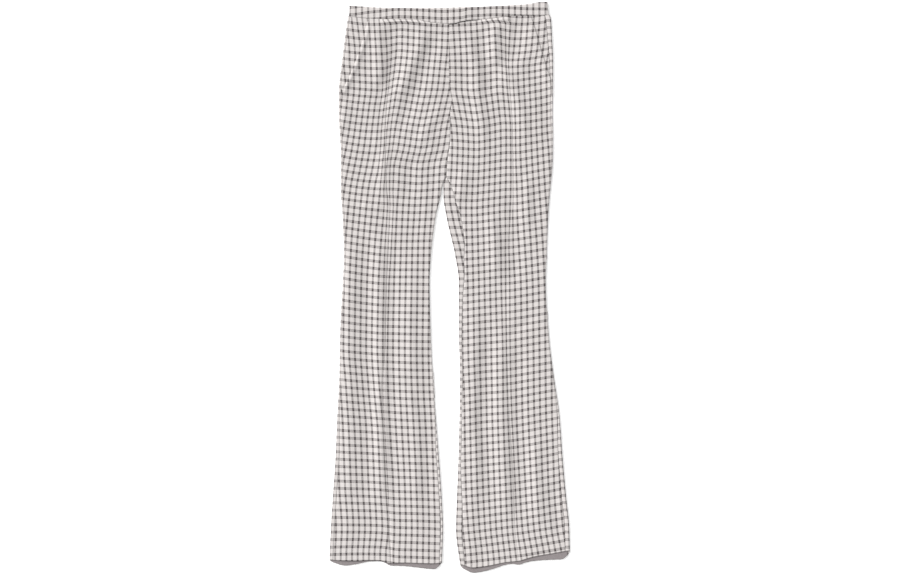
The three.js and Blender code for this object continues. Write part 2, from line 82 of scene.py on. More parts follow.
# Heights of the laid stack, the waistband and the laps at the centre front.
FOLD_RADIUS = 3
LOWEST_FRONT_TOP = 2.5
DEEPEST_TROUGH = 2.8
BAND_TOP = 5.8
BAND_FOLD_RADIUS = 3.4
BAND_LAP_RISE = 2.35
BAND_LAP_ACROSS = 58
BAND_LAP_BLEND = 24
BAND_OVERLAP = 1
BAND_UNDERLAP = 30
BAND_UNDERLAP_SHORTER = 2
BAND_BACK_DROP = 1
BAND_EDGE_ROUNDING = 0.7
BAND_EDGE_SPREAD = 1.3
FLY_UNDERLAP = 12
FLY_UNDERLAP_COLUMNS = 6
FLY_UNDERLAP_DOWN = 150
FLY_UNDERLAP_BLEND = 22
FLY_END_DOWN = 191
FLY_END_BLEND = 24
LAP_RISE = 0.9
LAP_SINK = 0.65
LAP_SPREAD = 26
SLIT_WIDTH = 1.4
SLIT_START_ACROSS = -2
SLIT_START_BLEND = 2
SLIT_END_ACROSS = 62
SLIT_END_BLEND = 10
SLIT_DEPTH = 14

# The slant pocket mouths, with the rolled lip and the hip piece behind them.
MOUTH_RISE = 1.1
MOUTH_SPREAD = 20
MOUTH_UNDERLAP = 14
MOUTH_CLOSING_DOWN = 168
MOUTH_CLOSING = 26
MOUTH_END_DOWN = 178
LIP_RISE = 2
LEFT_LIP_RISE = 0.3
LIP_START_DOWN = 40
LIP_START_BLEND = 15
LIP_PEAK = 5
LIP_SPREAD = 5
HIP_CHECK_LEAN = -0.07
HIP_CHECK_MATCH_DOWN = 68
HIP_PIECE_END_DOWN = 196
HIP_SEAM_TUCK = 4
HIP_SEAM_TUCK_DOWN = 165
HIP_SEAM_TUCK_BLEND = 12
HIP_SINK_END_DOWN = 150
HIP_SINK_END_BLEND = 30
HIP_SINK_BLEND = 12

# How the soft folds start and end, as shares of their length.
FOLD_FADE_IN = 0.22
FOLD_START = 0.1
FOLD_FADE_OUT = 0.3

# The pressed crease, the roll under the waistband and the strip inside the hem.
GROOVE_SPREAD = 1.7
GROOVE_UNEVENNESS = 0.15
GROOVE_UNEVEN_RATE = 0.045
TUCK_HALF_WIDTH = 1.2
WAIST_ROLL_HEIGHT = 2
WAIST_ROLL_SLANT = 4.5
WAIST_ROLL_DOWN = 5
HEM_FACING_DEPTH = 38
HEM_FACING_INSET = 1.5

# The woven check: its repeat, where it starts and how it goes round the folds.
CHECK_ACROSS = 11.3
CHECK_DOWN = 13.9
CHECK_START_ACROSS = 13.55
CHECK_START_DOWN = 9.8
BAND_CHECK_START = 9
BACK_CHECK_DROP = 0.42
WRAP_REPEATS = 0.92
LINE_PAST_FOLD = 2
NARROWEST_WRAP = 4.5
YARNS_ACROSS = 22
YARNS_DOWN = 27
CHECK_GROUND = (0.611, 0.575, 0.56, 1)
CHECK_DARK = (0.047, 0.037, 0.039, 1)
WARP_HALF_WIDTH = 0.17
WEFT_HALF_WIDTH = 0.19
WEFT_SPLIT = 0.055
FACING_DARK = (0.212, 0.185, 0.19, 1)
FACING_LIGHT = (0.26, 0.234, 0.234, 1)
# Painted shade: the facing's colour where the front hem covers and shades it.
FACING_PAINTED_SHADE = (0.07, 0.058, 0.062, 1)

# How many columns of points each shell has in its parts.
FRONT_INNER_COLUMNS = 56
FRONT_OUTER_COLUMNS = 52
BACK_INNER_COLUMNS = 24
BACK_MIDDLE_COLUMNS = 60
BACK_OUTER_COLUMNS = 16
HIP_COLUMNS = 20
HIP_UNDERLAP_COLUMNS = 10
BAND_ROWS = 22
BAND_FRONT_COLUMNS = 120
BAND_TURN_COLUMNS = 15
BAND_BACK_COLUMNS = 50
HEM_FACING_COLUMNS = 90

# Light and camera.
FLOOR_HALF_WIDTH = 8
FLOOR_GAP = 0.3
SURROUND_LEVEL = 0.754
KEY_LEVEL = 0.546
KEY_ELEVATION = 28
KEY_AZIMUTH = 146
KEY_BREADTH = 40
# The floor's glow is painted light that fills the shadows cast on it.
FLOOR_GLOW = 0.2

CAMERA_LENS = 70
SENSOR = 36
FRAME_WIDTH = 1737
FRAME_MIDDLE_ACROSS = 1
FRAME_MIDDLE_DOWN = 552


def table(names, rows):
    """A table as one column of numbers for each name."""
    return dict(zip(names.split(), np.array(rows, dtype=float).T))


SECTIONS = table("down rightOuter rightCrease rightInner leftInner leftCrease leftOuter", [
    (0, -192.4, -104.5, 0, 0, 103.6, 188.8),
    (27, -194, -106, 0, 0, 103.4, 192),
    (43, -196.9, -107.1, 0, 0, 103.3, 195.9),
    (73, -201.7, -111.9, -0.4, -0.4, 102.9, 197.8),
    (112, -206.8, -114.8, -1, -1, 103.8, 199.9),
    (166, -213.1, -118.7, 1, 1, 109.6, 199.8),
    (191, -213.6, -120.4, 5.2, 5.2, 112.8, 199.2),
    (214, -213.7, -121.8, 1.5, 1.5, 115.2, 198.8),
    (257, -211.3, -123.3, 1.7, 1.7, 120.2, 199.8),
    (305, -209.4, -123.7, -3.7, -3.7, 122.5, 199.2),
    (336, -209.4, -123.3, -6, -6, 122.9, 197.2),
    (352, -209.4, -123, -12.7, -11.4, 122.9, 195.6),
    (376, -208.9, -122.6, -17.2, -11.4, 122.9, 193.3),
    (413, -206.3, -121.9, -26.1, -6.2, 119, 190.6),
    (490, -203.6, -120.4, -35.7, 11, 110.7, 187.6),
    (540, -205.9, -119.3, -38.4, 17.9, 110.2, 185.8),
    (645, -211.3, -118.5, -35.7, 18.3, 112.2, 192),
    (722, -212.5, -118.1, -31.8, 20.3, 114.4, 201.3),
    (799, -216.5, -118.1, -26.6, 19.3, 117.5, 212.3),
    (876, -219.6, -118.1, -20.7, 17.4, 122.2, 217.9),
    (953, -224.8, -118.1, -15.2, 14.5, 125.2, 224.8),
    (1015, -228.7, -117.9, -12.5, 12.5, 127.3, 230.6),
    (1080, -231.6, -114.5, -14.5, 20.5, 134, 232.2),
])

# How far the back panels come round the side folds on to the front.
WRAPS = table("down rightOuter rightInner leftInner leftOuter", [
    (27, 4, 0, 0, 11),
    (112, 4, 0, 0, 7),
    (190, 4, 0, 0, 4),
    (336, 4, 0, 0, 2),
    (341, 4, 0, 4, 2),
    (352, 4, 0, 13.5, 2),
    (376, 4, 0, 21, 2),
    (420, 4, 0, 27.8, 1),
    (460, 4, 0, 24.3, 0.5),
    (502, 4, 0, 15.2, 0),
    (575, 3.5, 0, 7.7, 0),
    (700, 3, 0, 5.2, 0.5),
    (800, 4.5, 1, 5, 4),
    (876, 7.5, 4.5, 5, 8),
    (1004, 7.5, 4.5, 12.4, 9),
    (1080, 7.5, 4.5, 9.3, 9),
])

# How far in from the hip edge each slant pocket mouth runs.
POCKET_MOUTHS = table("down right left", [
    (30, 41, 40),
    (43, 38.5, 36.7),
    (74, 34.8, 28),
    (112, 26.5, 17.6),
    (131, 21.9, 11.5),
    (150, 15.6, 5),
    (178, 4, 0),
])

HEIGHTS = table("down top", [(0, 5.3), (220, 5.2), (336, 4.9), (480, 4.7), (1080, 4.8)])

BAND_EDGES = table("across top seam", [
    (-194, 7.5, 28.6),
    (-167, 9.5, 31.4),
    (-123, 11.6, 33.8),
    (-65, 12.3, 34.4),
    (-38, 12.2, 39.6),
    (0, 11.6, 42.9),
    (11, 11.4, 42.1),
    (20, 11.1, 39.4),
    (43, 10.5, 35.5),
    (61, 9.9, 34.6),
    (94, 8.3, 30.9),
    (127, 6.3, 27.5),
    (150, 4.7, 27),
    (175, 0.8, 26.5),
    (192, 0, 26.2),
])

HEM_RIGHT = table("across front back", [
    (-231.6, 1075, 1078.1),
    (-221, 1076.3, 1082.7),
    (-202, 1077.4, 1087.7),
    (-178, 1078.3, 1084.6),
    (-155, 1076.7, 1079.9),
    (-136, 1077, 1079.2),
    (-124, 1079.6, 1082.4),
    (-115, 1082.7, 1087.7),
    (-90, 1081.4, 1088.5),
    (-58, 1082.2, 1091.8),
    (-29, 1082.8, 1094.3),
    (-14.5, 1081, 1083),
])

HEM_LEFT = table("across front back", [
    (20, 1082.7, 1088.8),
    (30, 1087, 1095.5),
    (46, 1091, 1101.5),
    (65, 1089.3, 1098.9),
    (89, 1084.7, 1092.6),
    (106, 1081.2, 1086.8),
    (122, 1079.2, 1084.5),
    (134, 1078, 1086.1),
    (143, 1075.5, 1083),
    (161, 1070.2, 1078.9),
    (193, 1064.6, 1076.6),
    (216, 1060.4, 1075.8),
    (232.2, 1057.6, 1063.8),
])

# Where the fronts roll up under the waistband, and how softly each roll starts and ends.
WAIST_ROLLS = [
    # from, to, blend at the start, blend at the end
    (-138, -34, 14, 12),
    (56, 124, 12, 12),
]

# A faint unevenness of the laid cloth.
WAVES = [
    # height, radians a millimetre across and down, phase
    (0.24, 0.052, 0.017, 0.6),
    (0.18, 0.019, -0.041, 2.1),
    (0.13, 0.098, 0.071, 4.4),
    (0.09, -0.143, 0.052, 1.3),
]

# Ridges (height above 0) and troughs (below 0), each along a straight run. These are
# the solids' own.
FOLDS = table("fromDown fromAcross toDown toAcross spread height", [
    (150, -131, 330, -135, 6, -0.7),
    (160, -112, 320, -113, 5, -0.5),
    (266, -34, 452, -53, 8, 0.9),
    (330, -160, 410, -148, 26, 0.7),
    (580, -184, 960, -190, 13, -0.8),
    (190, -4, 165, -70, 6, 0.7),
    (202, -6, 262, -78, 8, -0.6),
    (980, -60, 1080, -45, 16, 0.8),
    (990, -190, 1080, -202, 14, 0.7),
    (188, 12, 160, 66, 6, 0.7),
    (204, 10, 268, 80, 8, -0.6),
    (62, 107, 76, 107, 9, -0.7),
    (400, 60, 470, 58, 24, 0.7),
    (466, 117, 482, 113, 10, -0.9),
    (600, 88, 680, 96, 18, 0.5),
    (690, 58, 1060, 60, 13, -0.8),
    (990, 40, 1085, 46, 13, 1),
    (980, 190, 1060, 205, 15, 0.7),
])

# Soft folds that only the scene has: the height of a ridge or, below 0, of a trough, its spread,
# and the places that it runs through, each as how far down and how far across.
SOFT_FOLDS = [
    # The right leg, from the waist to the knee.
    (3.4, 12, [(39, -148), (70, -137), (118, -136), (178, -136)]),
    (-3.4, 12, [(42, -115), (82, -101), (130, -108), (185, -118)]),
    (3.1, 12, [(42, -52), (82, -55), (118, -72), (166, -92), (200, -104)]),
    (-3.3, 12, [(46, -16), (94, -36), (142, -52), (190, -73), (238, -91), (275, -100)]),
    (2.7, 12, [(200, -10), (238, -43), (262, -50), (290, -56)]),
    (2.1, 12, [(186, -202), (250, -203)]),
    (3.2, 13.5, [(250, -148), (286, -128), (334, -129), (400, -130)]),
    (-2.4, 12, [(296, -70), (340, -77), (390, -79)]),
    (-1.8, 11, [(285, -34), (320, -37), (400, -38)]),
    (2.1, 9.5, [(390, -173), (401, -123)]),
    # The right leg, from the knee to the hem.
    (2.8, 12.5, [(436, -190), (628, -191), (820, -191), (916, -193), (1058, -200)]),
    (-2.4, 12, [(430, -158), (580, -159), (772, -155), (964, -159), (1058, -147)]),
    (2.5, 12, [(430, -138), (580, -135), (772, -135), (964, -129), (1040, -125)]),
    (-2.8, 11, [(430, -101), (500, -109), (628, -110), (820, -110), (1020, -102)]),
    (2, 12, [(470, -66), (600, -76), (772, -72), (868, -64), (1060, -68)]),
    (-1.8, 12, [(633, -40), (807, -38), (942, -40), (1038, -36)]),
    (-1, 7, [(714, -80), (791, -57)]),
    # The left leg, from the waist to the knee.
    (3.6, 12, [(39, 92), (70, 86), (110, 86), (134, 88)]),
    (-4.4, 13.5, [(42, 140), (70, 130), (94, 124), (124, 124)]),
    (3.3, 12, [(50, 30), (70, 34), (94, 41), (118, 50), (190, 54), (262, 66), (316, 67)]),
    (-2.6, 12, [(50, 58), (80, 66), (142, 77), (190, 82)]),
    (3.1, 12, [(120, 98), (150, 112), (172, 127), (214, 139), (290, 150)]),
    (-2.9, 12, [(100, 150), (142, 166), (180, 184), (250, 191), (300, 194)]),
    (2.6, 12, [(320, 28), (345, 24), (392, 20)]),
    (3.6, 13.5, [(400, 78), (450, 86), (508, 90), (545, 92)]),
    (-2.8, 12, [(370, 114), (440, 128), (500, 128), (560, 118)]),
    (2, 9.5, [(330, 150), (452, 150)]),
    # The left leg, from the knee to the hem.
    (2.7, 13.5, [(560, 49), (724, 48), (800, 43), (868, 52), (964, 49), (1030, 58)]),
    (-2.3, 12, [(628, 70), (724, 75), (820, 67), (940, 78), (1030, 92)]),
    (3.1, 13.5, [(600, 101), (772, 98), (868, 103), (964, 110), (1050, 121)]),
    (-2.9, 13.5, [(640, 132), (820, 134), (916, 141), (1038, 139)]),
    (2.6, 12, [(826, 166), (964, 169), (1040, 177)]),
    (-1.8, 12, [(923, 198), (1060, 214)]),
    (-1.3, 7, [(645, 113), (602, 169)]),
]

# How far the check's lines are drawn from a straight grid by the lie of the cloth. For the lines
# along the leg it is a shift across at the side, on both sides of the pressed crease and at the
# inner edge. The crease's line runs so far outward of the sections' crease. It takes up the
# difference between its two sides within a half width, and hides the tuck's part of it in a
# narrow groove, whose depth is given.
RIGHT_ALONG = table("down side outer inner edge within line tuck groove", [
    (30, -3, 5.5, 3.4, 5, 10, 0, 0, 0),
    (88, -6.3, -0.1, 4, 7.5, 9, 0, 0, 0.3),
    (127, -4, -3.2, 7.8, 11.3, 10, 0, 2, 0.8),
    (165, -5.2, -4.2, 14.1, 14.7, 12, 0, 5, 1),
    (204, -2.3, 1.1, 20.8, 23, 14, 0, 6, 1),
    (243, 3.6, 5.8, 28.5, 31.3, 15, 0, 6, 1),
    (281, 10.5, 9.5, 34.2, 37.3, 14, -1, 7, 1.4),
    (320, 18.3, 15.5, 42.7, 45, 14, -1, 8, 1.4),
    (358, 25, 22.9, 44.9, 46.3, 13, -2, 5, 0.8),
    (397, 29.2, 27.1, 47.8, 48.3, 12, -7, 3, 1),
    (474, 34.9, 34.5, 51.3, 53.4, 11, -3, 3, 0.8),
    (551, 37.5, 38.7, 54, 53.9, 9, 2, 9, 1.2),
    (667, 38, 40.8, 55.8, 55, 9, 5.5, 12, 1.2),
    (744, 32.4, 36.3, 54.2, 53.3, 9, 11, 16, 1.7),
    (822, 27.7, 28.8, 50.5, 48.9, 9, 8.5, 21.5, 2.4),
    (937, 23.7, 23.6, 43.9, 44.8, 8, 3, 20, 2.6),
    (1015, 18.6, 20, 41.9, 42.9, 8, -1.7, 22, 2.4),
    (1060, 20, 24.3, 43.6, 43.1, 8, -2, 19, 1.8),
])

LEFT_ALONG = table("down side outer inner edge within line tuck groove", [
    (30, -0.5, -2, -3.5, -2.5, 10, 6, 0, 0),
    (88, 3.6, 3.1, -6.5, -6.5, 10, 7, 3, 0.7),
    (127, 9.3, 6.8, -8.1, -8.3, 11, 7, 4, 0.8),
    (165, 9, 5.8, -9, -8.6, 11, 6, 5, 0.8),
    (204, 8.7, 3.3, -12.2, -15.3, 12, 5, 8, 1.2),
    (243, 8.2, 2.7, -15.2, -22.8, 12, 3, 10, 1.4),
    (281, 5.2, 2.5, -15.3, -25.1, 12, 1, 10, 1.4),
    (358, 0.3, -0.9, -14.5, -21.6, 12, 0, 8, 1),
    (397, -2.6, -2.2, -13.9, -18.9, 12, 0, 5, 0.7),
    (474, -7.5, -6.1, -16.5, -19.5, 12, 1, 2, 0.5),
    (551, -10.5, -9.9, -17.4, -21.3, 9, 0, 0, 0.5),
    (667, -12.1, -10.9, -20.3, -21.8, 8, -2, 0, 0.8),
    (783, -13.2, -12.5, -20.8, -26, 8, -1.5, 0, 1),
    (860, -15.4, -15.4, -23, -27, 10, -1, 0, 1.4),
    (937, -17.3, -19.2, -25.9, -28.7, 10, 0, 0, 1.4),
    (1015, -23.1, -24, -28.7, -34.1, 10, 0, 0, 1),
    (1060, -31.5, -31, -33.7, -38.4, 8, 0, 0, 0.8),
    (1080, -35, -34, -36, -39.5, 8, 0, 0, 0.7),
])

# The same for the lines across, which are shifted down, with the inner half's middle as well and
# the bow that the lines make in the middle of the outer half.
RIGHT_ACROSS = table("down side outer inner middle edge bow", [
    (50, -0.6, -4.1, -1.1, -5.9, -8.5, -2.9),
    (127, -1, -7.4, 2.1, -4.5, -8.5, -1.7),
    (165, 0.3, -7.4, 2.8, -5.4, -6.5, -1.4),
    (204, 3.4, -4.5, 2.7, -5.7, -1, -2.2),
    (243, 5, -2.8, 1.6, -5.8, 3.5, -2.9),
    (281, 5.4, -3, 1.6, -6, 1.5, -2.7),
    (358, 6.6, -2.9, -2.6, -6.5, -2.4, -1.8),
    (397, 7.2, -2.3, -4.7, -6.8, -4.7, -0.9),
    (474, 6.5, -4.5, -6, -5.7, -5.2, -0.5),
    (551, 6.1, -4.5, -5.1, -5.2, -6, -0.9),
    (706, 5.7, -1.6, -2.9, -4.2, -4.8, -0.6),
    (822, 5.5, -0.3, -3, -4.3, -4.8, -0.1),
    (937, 4.4, 1.1, -2.2, -2.8, -5, 0.5),
    (1015, 3.4, 1.7, -1.9, -2.8, -5.4, 0.7),
    (1060, 1.5, 1.8, -2.5, -3.8, -5.7, 1.2),
])

LEFT_ACROSS = table("down side outer inner middle edge bow", [
    (50, 2.5, -3.2, 1, -5.4, -7.4, -3.9),
    (88, 5.9, -4.5, 1.2, -4.8, -8.3, -3.6),
    (127, 9, -4.3, 0.8, -6.1, -5.1, -2.2),
    (165, 12.1, -3.2, 0.9, -7.2, -4.2, -1),
    (204, 11, -1.9, 0.3, -8.8, -3.7, -1.4),
    (243, 10.3, -1, -0.1, -10.1, -4.8, -1.1),
    (320, 10.5, -2.8, -2.7, -10.7, -7.3, -0.3),
    (397, 9.2, -3, -3.9, -11.6, -10.5, -0.4),
    (474, 7.8, -3.5, -5.5, -11.2, -14.6, -0.5),
    (551, 7.9, -3.4, -5.3, -10, -14.9, -0.4),
    (706, 11, -1.6, -4.5, -8.3, -14, 0.1),
    (783, 14.7, -1.3, -3.8, -7.5, -14.2, 0.2),
    (860, 17.5, 0.3, -2.2, -7.4, -13.8, -0.1),
    (937, 18.5, 1.4, -1.4, -7.8, -13.2, -0.2),
    (1015, 17.5, 1.3, -1.1, -8.4, -14.5, -0.2),
    (1060, 15.6, 0.2, -2.5, -8.9, -14.3, -0.2),
])

# Where the waistband's first dark line across lies.
BAND_LINE = table("across down", [
    (-194, 25.5),
    (-180, 24.4),
    (-156, 20.8),
    (-133, 18.6),
    (-97, 15.2),
    (-57, 16.6),
    (-10, 19.1),
    (20, 17.9),
    (38, 14.5),
    (90, 11.6),
    (120, 12.5),
    (150, 14),
    (192, 14.6),
])


def curve(rows, source, target):
    """A smooth curve through two columns of a table that never overshoots its rows."""
    x, y = rows[source], rows[target]
    chord = np.diff(y) / np.diff(x)
    before, after = chord[:-1], chord[1:]
    total = before + after
    slopes = np.empty_like(y)
    slopes[0], slopes[-1] = chord[0], chord[-1]
    same_way = before * after > 0
    slopes[1:-1] = np.where(same_way, 2 * before * after / np.where(same_way, total, 1), 0)

    def evaluate(value):
        value = np.clip(value, x[0], x[-1])
        i = np.clip(np.searchsorted(x, value, side="right") - 1, 0, len(x) - 2)
        width = x[i + 1] - x[i]
        t = (value - x[i]) / width
        rest = 1 - t
        start = y[i] * rest * rest * (1 + 2 * t) + slopes[i] * width * t * rest * rest
        end = y[i + 1] * t * t * (3 - 2 * t) - slopes[i + 1] * width * t * t * rest
        return start + end

    return evaluate


def ease(value):
    t = np.clip(value, 0, 1)
    return t * t * (3 - 2 * t)


def bump(distance, spread):
    return np.exp(-((distance / spread) ** 2))


stack_top = curve(HEIGHTS, "down", "top")
band_top_down = curve(BAND_EDGES, "across", "top")
band_seam_down = curve(BAND_EDGES, "across", "seam")


def make_side(name, outward, hem, along, over):
    return SimpleNamespace(
        name=name,
        outward=outward,
        outer=curve(SECTIONS, "down", name + "Outer"),
        inner=curve(SECTIONS, "down", name + "Inner"),
        crease=curve(SECTIONS, "down", name + "Crease"),
        outer_wrap=curve(WRAPS, "down", name + "Outer"),
        inner_wrap=curve(WRAPS, "down", name + "Inner"),
        mouth=curve(POCKET_MOUTHS, "down", name),
        front_hem=curve(hem, "across", "front"),
        back_hem=curve(hem, "across", "back"),
        along={column: curve(along, "down", column) for column in along},
        over=over,
    )


RIGHT = make_side("right", -1, HEM_RIGHT, RIGHT_ALONG, RIGHT_ACROSS)
LEFT = make_side("left", 1, HEM_LEFT, LEFT_ALONG, LEFT_ACROSS)


GRID_STEP = 3
GRID_REACH = 258
GRID_ACROSS = np.arange(-GRID_REACH, GRID_REACH + 1, GRID_STEP)
GRID_DOWN = np.arange(0, 1111, GRID_STEP)
CREASE_OUTSIDE = 10
CREASE_INSIDE = -14


def share(value, start, end):
    return np.clip((value - start) / (end - start), 0, 1)


def softened(field):
    """Rounds off the corners of a field across the leg."""
    for _ in range(5):
        field[:, 1:-1] = (field[:, :-2] + 2 * field[:, 1:-1] + field[:, 2:]) / 4
    return field


def crease_line(side, down):
    """How far across the pressed crease's line lies."""
    return side.crease(down) + side.outward * side.along["line"](down)


def shift_across(side, across, down):
    along = {column: evaluate(down) for column, evaluate in side.along.items()}
    line = crease_line(side, down)
    out = (across - line) * side.outward
    side_out = (side.outer(down) - line) * side.outward
    edge_out = (side.inner(down) - line) * side.outward
    within = along["within"]
    difference = along["inner"] - along["outer"]
    hidden = np.sign(difference) * along["tuck"]
    return (
        along["outer"]
        + (along["side"] - along["outer"]) * share(out, within, side_out)
        + (difference - hidden) * share(out, within, -within)
        + hidden * share(out, TUCK_HALF_WIDTH, -TUCK_HALF_WIDTH)
        + (along["edge"] - along["inner"]) * share(out, -within, edge_out)
    )


def shift_down_field(side):
    down, across = np.meshgrid(GRID_DOWN, GRID_ACROSS, indexing="ij")
    over = {name: curve(side.over, "down", name)(down) for name in side.over}
    out = (across - side.crease(down)) * side.outward
    side_out = (side.outer(down) - side.crease(down)) * side.outward
    edge_out = (side.inner(down) - side.crease(down)) * side.outward
    rise = share(out, CREASE_OUTSIDE, CREASE_INSIDE)
    middle_out = (edge_out + CREASE_INSIDE) / 2
    outer_share = share(out, CREASE_OUTSIDE, side_out)
    field = (
        over["outer"]
        + (over["side"] - over["outer"]) * outer_share
        + over["bow"] * 4 * outer_share * (1 - outer_share)
        + (over["inner"] - over["outer"]) * rise
        + (over["middle"] - over["inner"]) * share(out, CREASE_INSIDE, middle_out)
        + (over["edge"] - over["middle"]) * share(out, middle_out, edge_out)
    )
    return softened(field)


def sample(field, across, down):
    """A grid's values at any points, by straight mixing between its cells."""
    column = np.clip((across - GRID_ACROSS[0]) / GRID_STEP, 0, len(GRID_ACROSS) - 1.001)
    row = np.clip((down - GRID_DOWN[0]) / GRID_STEP, 0, len(GRID_DOWN) - 1.001)
    i, j = row.astype(int), column.astype(int)
    s, t = row - i, column - j
    upper = field[i, j] * (1 - t) + field[i, j + 1] * t
    lower = field[i + 1, j] * (1 - t) + field[i + 1, j + 1] * t
    return upper * (1 - s) + lower * s


for leg in (RIGHT, LEFT):
    leg.shift_down = shift_down_field(leg)


def roll_area(across):
    """1 where the fronts roll up under the waistband, 0 elsewhere."""
    total = 0
    for start, end, start_blend, end_blend in WAIST_ROLLS:
        total = total + ease((across - start) / start_blend) * ease((end - across) / end_blend)
    return total


def front_grain(side, across, down):
    """Where a point of the front lies in the woven check, counted in repeats."""
    slant = WAIST_ROLL_SLANT * roll_area(across) * (1 - ease((down - WAIST_DOWN + 1) / 9))
    shifted = across + slant + shift_across(side, across, down)
    along = (shifted + CHECK_START_ACROSS) / CHECK_ACROSS
    below = (down + CHECK_START_DOWN + sample(side.shift_down, across, down)) / CHECK_DOWN
    return np.stack([along, below], axis=-1)


def nearest_on_run(start, end, down, across):
    """How far a point is from a straight run, and how far along the run its nearest place is."""
    run_down, run_across = end[0] - start[0], end[1] - start[1]
    away_down, away_across = down - start[0], across - start[1]
    length = math.hypot(run_down, run_across)
    along = (away_down * run_down + away_across * run_across) / length
    along = np.clip(along, 0, length)
    t = along / length
    return np.hypot(away_down - t * run_down, away_across - t * run_across), along


def solid_relief(down, across):
    total = 0
    for i in range(len(FOLDS["height"])):
        start = FOLDS["fromDown"][i], FOLDS["fromAcross"][i]
        end = FOLDS["toDown"][i], FOLDS["toAcross"][i]
        distance, _ = nearest_on_run(start, end, down, across)
        total = total + FOLDS["height"][i] * bump(distance, FOLDS["spread"][i])
    return total


def soft_relief(down, across):
    """Folds that fade out toward both ends of their line."""
    total = np.zeros(np.broadcast(down, across).shape)
    for height, spread_out, line in SOFT_FOLDS:
        nearest = np.full(total.shape, np.inf)
        place = np.zeros(total.shape)
        passed = 0
        for start, end in zip(line[:-1], line[1:]):
            distance, along = nearest_on_run(start, end, down, across)
            closer = distance < nearest
            nearest = np.where(closer, distance, nearest)
            place = np.where(closer, passed + along, place)
            passed += math.hypot(end[0] - start[0], end[1] - start[1])
        fade_in = ease(place / (FOLD_FADE_IN * passed) + FOLD_START)
        fade = fade_in * ease((passed - place) / (FOLD_FADE_OUT * passed))
        total += height * fade * bump(nearest, spread_out)
    return total


def crease_relief(side, down, across):
    """The narrow groove of the pressed crease."""
    away = np.abs(across - crease_line(side, down))
    wave = np.sin(GROOVE_UNEVEN_RATE * down + side.outward)
    depth = side.along["groove"](down) * (1 - GROOVE_UNEVENNESS + GROOVE_UNEVENNESS * wave)
    return -depth * np.exp(-away / GROOVE_SPREAD)


def waist_roll(down, across):
    return WAIST_ROLL_HEIGHT * roll_area(across) * bump(down - WAIST_DOWN - WAIST_ROLL_DOWN, 4)


def undulation(down, across):
    """So that no stretch of the laid cloth is quite flat."""
    total = 0
    for height, rate_across, rate_down, phase in WAVES:
        total = total + height * np.sin(rate_across * across + rate_down * down + phase)
    return total


def plain_top(side, down, across):
    """The upper surface of the laid front, before laps and pocket mouths."""
    relief = (
        solid_relief(down, across)
        + soft_relief(down, across)
        + crease_relief(side, down, across)
        + waist_roll(down, across)
        + undulation(down, across)
    )
    sunk = -DEEPEST_TROUGH * np.tanh(-relief / DEEPEST_TROUGH)
    return stack_top(down) + np.where(relief < 0, sunk, relief)


def fly_fade(down):
    """1 beside the fly and 0 below it."""
    return 1 - ease((down - FLY_END_DOWN + FLY_END_BLEND / 2) / FLY_END_BLEND)


def lap_change(side, down, across):
    """The left front rises on to the fly's lap, and the right one sinks under it."""
    amount = LAP_RISE if side is LEFT else -LAP_SINK
    return amount * fly_fade(down) * bump(across - side.inner(down), LAP_SPREAD)


def mouth_rise(side, down, across):
    """The front rises toward the pocket mouth, with a rolled lip beside it."""
    inside = np.maximum(0, np.abs(side.outer(down) - across) - side.mouth(down))
    closing = 1 - ease((down - MOUTH_CLOSING_DOWN) / MOUTH_CLOSING)
    lip = LIP_RISE * ease((down - LIP_START_DOWN) / LIP_START_BLEND) if side is RIGHT else LEFT_LIP_RISE
    rolled = lip * bump(inside - LIP_PEAK, LIP_SPREAD)
    return closing * (MOUTH_RISE * bump(inside, MOUTH_SPREAD) + rolled)


def front_top(side, down, across):
    rises = lap_change(side, down, across) + mouth_rise(side, down, across)
    return np.maximum(plain_top(side, down, across) + rises, LOWEST_FRONT_TOP)


def make_section(side, down):
    """The flattened loops of a leg. u runs on each from the inner fold, 0, to the outer one."""
    down = np.asarray(down, dtype=float)[:, None]
    inner, outer, top = side.inner(down), side.outer(down), stack_top(down)
    quarter = (math.pi / 2) * np.sqrt((FOLD_RADIUS**2 + (top / 2) ** 2) / 2)
    flat = np.abs(outer - inner) - 2 * FOLD_RADIUS
    return SimpleNamespace(
        side=side,
        down=down,
        inner=inner,
        outer=outer,
        top=top,
        quarter=quarter,
        length=flat + 2 * quarter,
        open=down <= CROTCH_DOWN,
    )


def wrap_length(section, wrap):
    """How long the cloth is from a fold's edge to a place that lies so far in from it."""
    on_fold = section.quarter * 2 * np.arccos(1 - np.clip(wrap / FOLD_RADIUS, 0, 1)) / math.pi
    return np.where(wrap >= FOLD_RADIUS, section.quarter + wrap - FOLD_RADIUS, on_fold)


def loop_point(section, u, upper, surface):
    """Across and height of points on the loops. surface gives the height of their upper side."""
    s = section
    half = s.top / 2
    outward = s.side.outward
    inner_part = np.clip(u / s.quarter, 0, 1) * math.pi / 2
    outer_part = np.clip((s.length - u) / s.quarter, 0, 1) * math.pi / 2
    near_inner, near_outer = u < s.quarter, s.length - u < s.quarter
    across = s.inner + outward * (FOLD_RADIUS + u - s.quarter)
    opened = s.inner + outward * FOLD_RADIUS * inner_part * 2 / math.pi
    folded = s.inner + outward * FOLD_RADIUS * (1 - np.cos(inner_part))
    across = np.where(near_inner, np.where(s.open, opened, folded), across)
    across = np.where(near_outer, s.outer - outward * FOLD_RADIUS * (1 - np.cos(outer_part)), across)
    rise = np.where(near_inner & ~s.open, np.sin(inner_part), 1)
    rise = np.where(near_outer, np.sin(outer_part), rise)
    over = half + (surface(across) - half) * rise
    return across, np.where(upper, over, half - half * rise)


def between(start, end, shares):
    return start + (end - start) * shares


def back_waist_seam(across):
    """The back's waist seam, straight from side to side."""
    right_end, left_end = BAND_EDGES["across"][0], BAND_EDGES["across"][-1]
    along = share(across, right_end, left_end)
    return between(band_seam_down(right_end), band_seam_down(left_end), along)


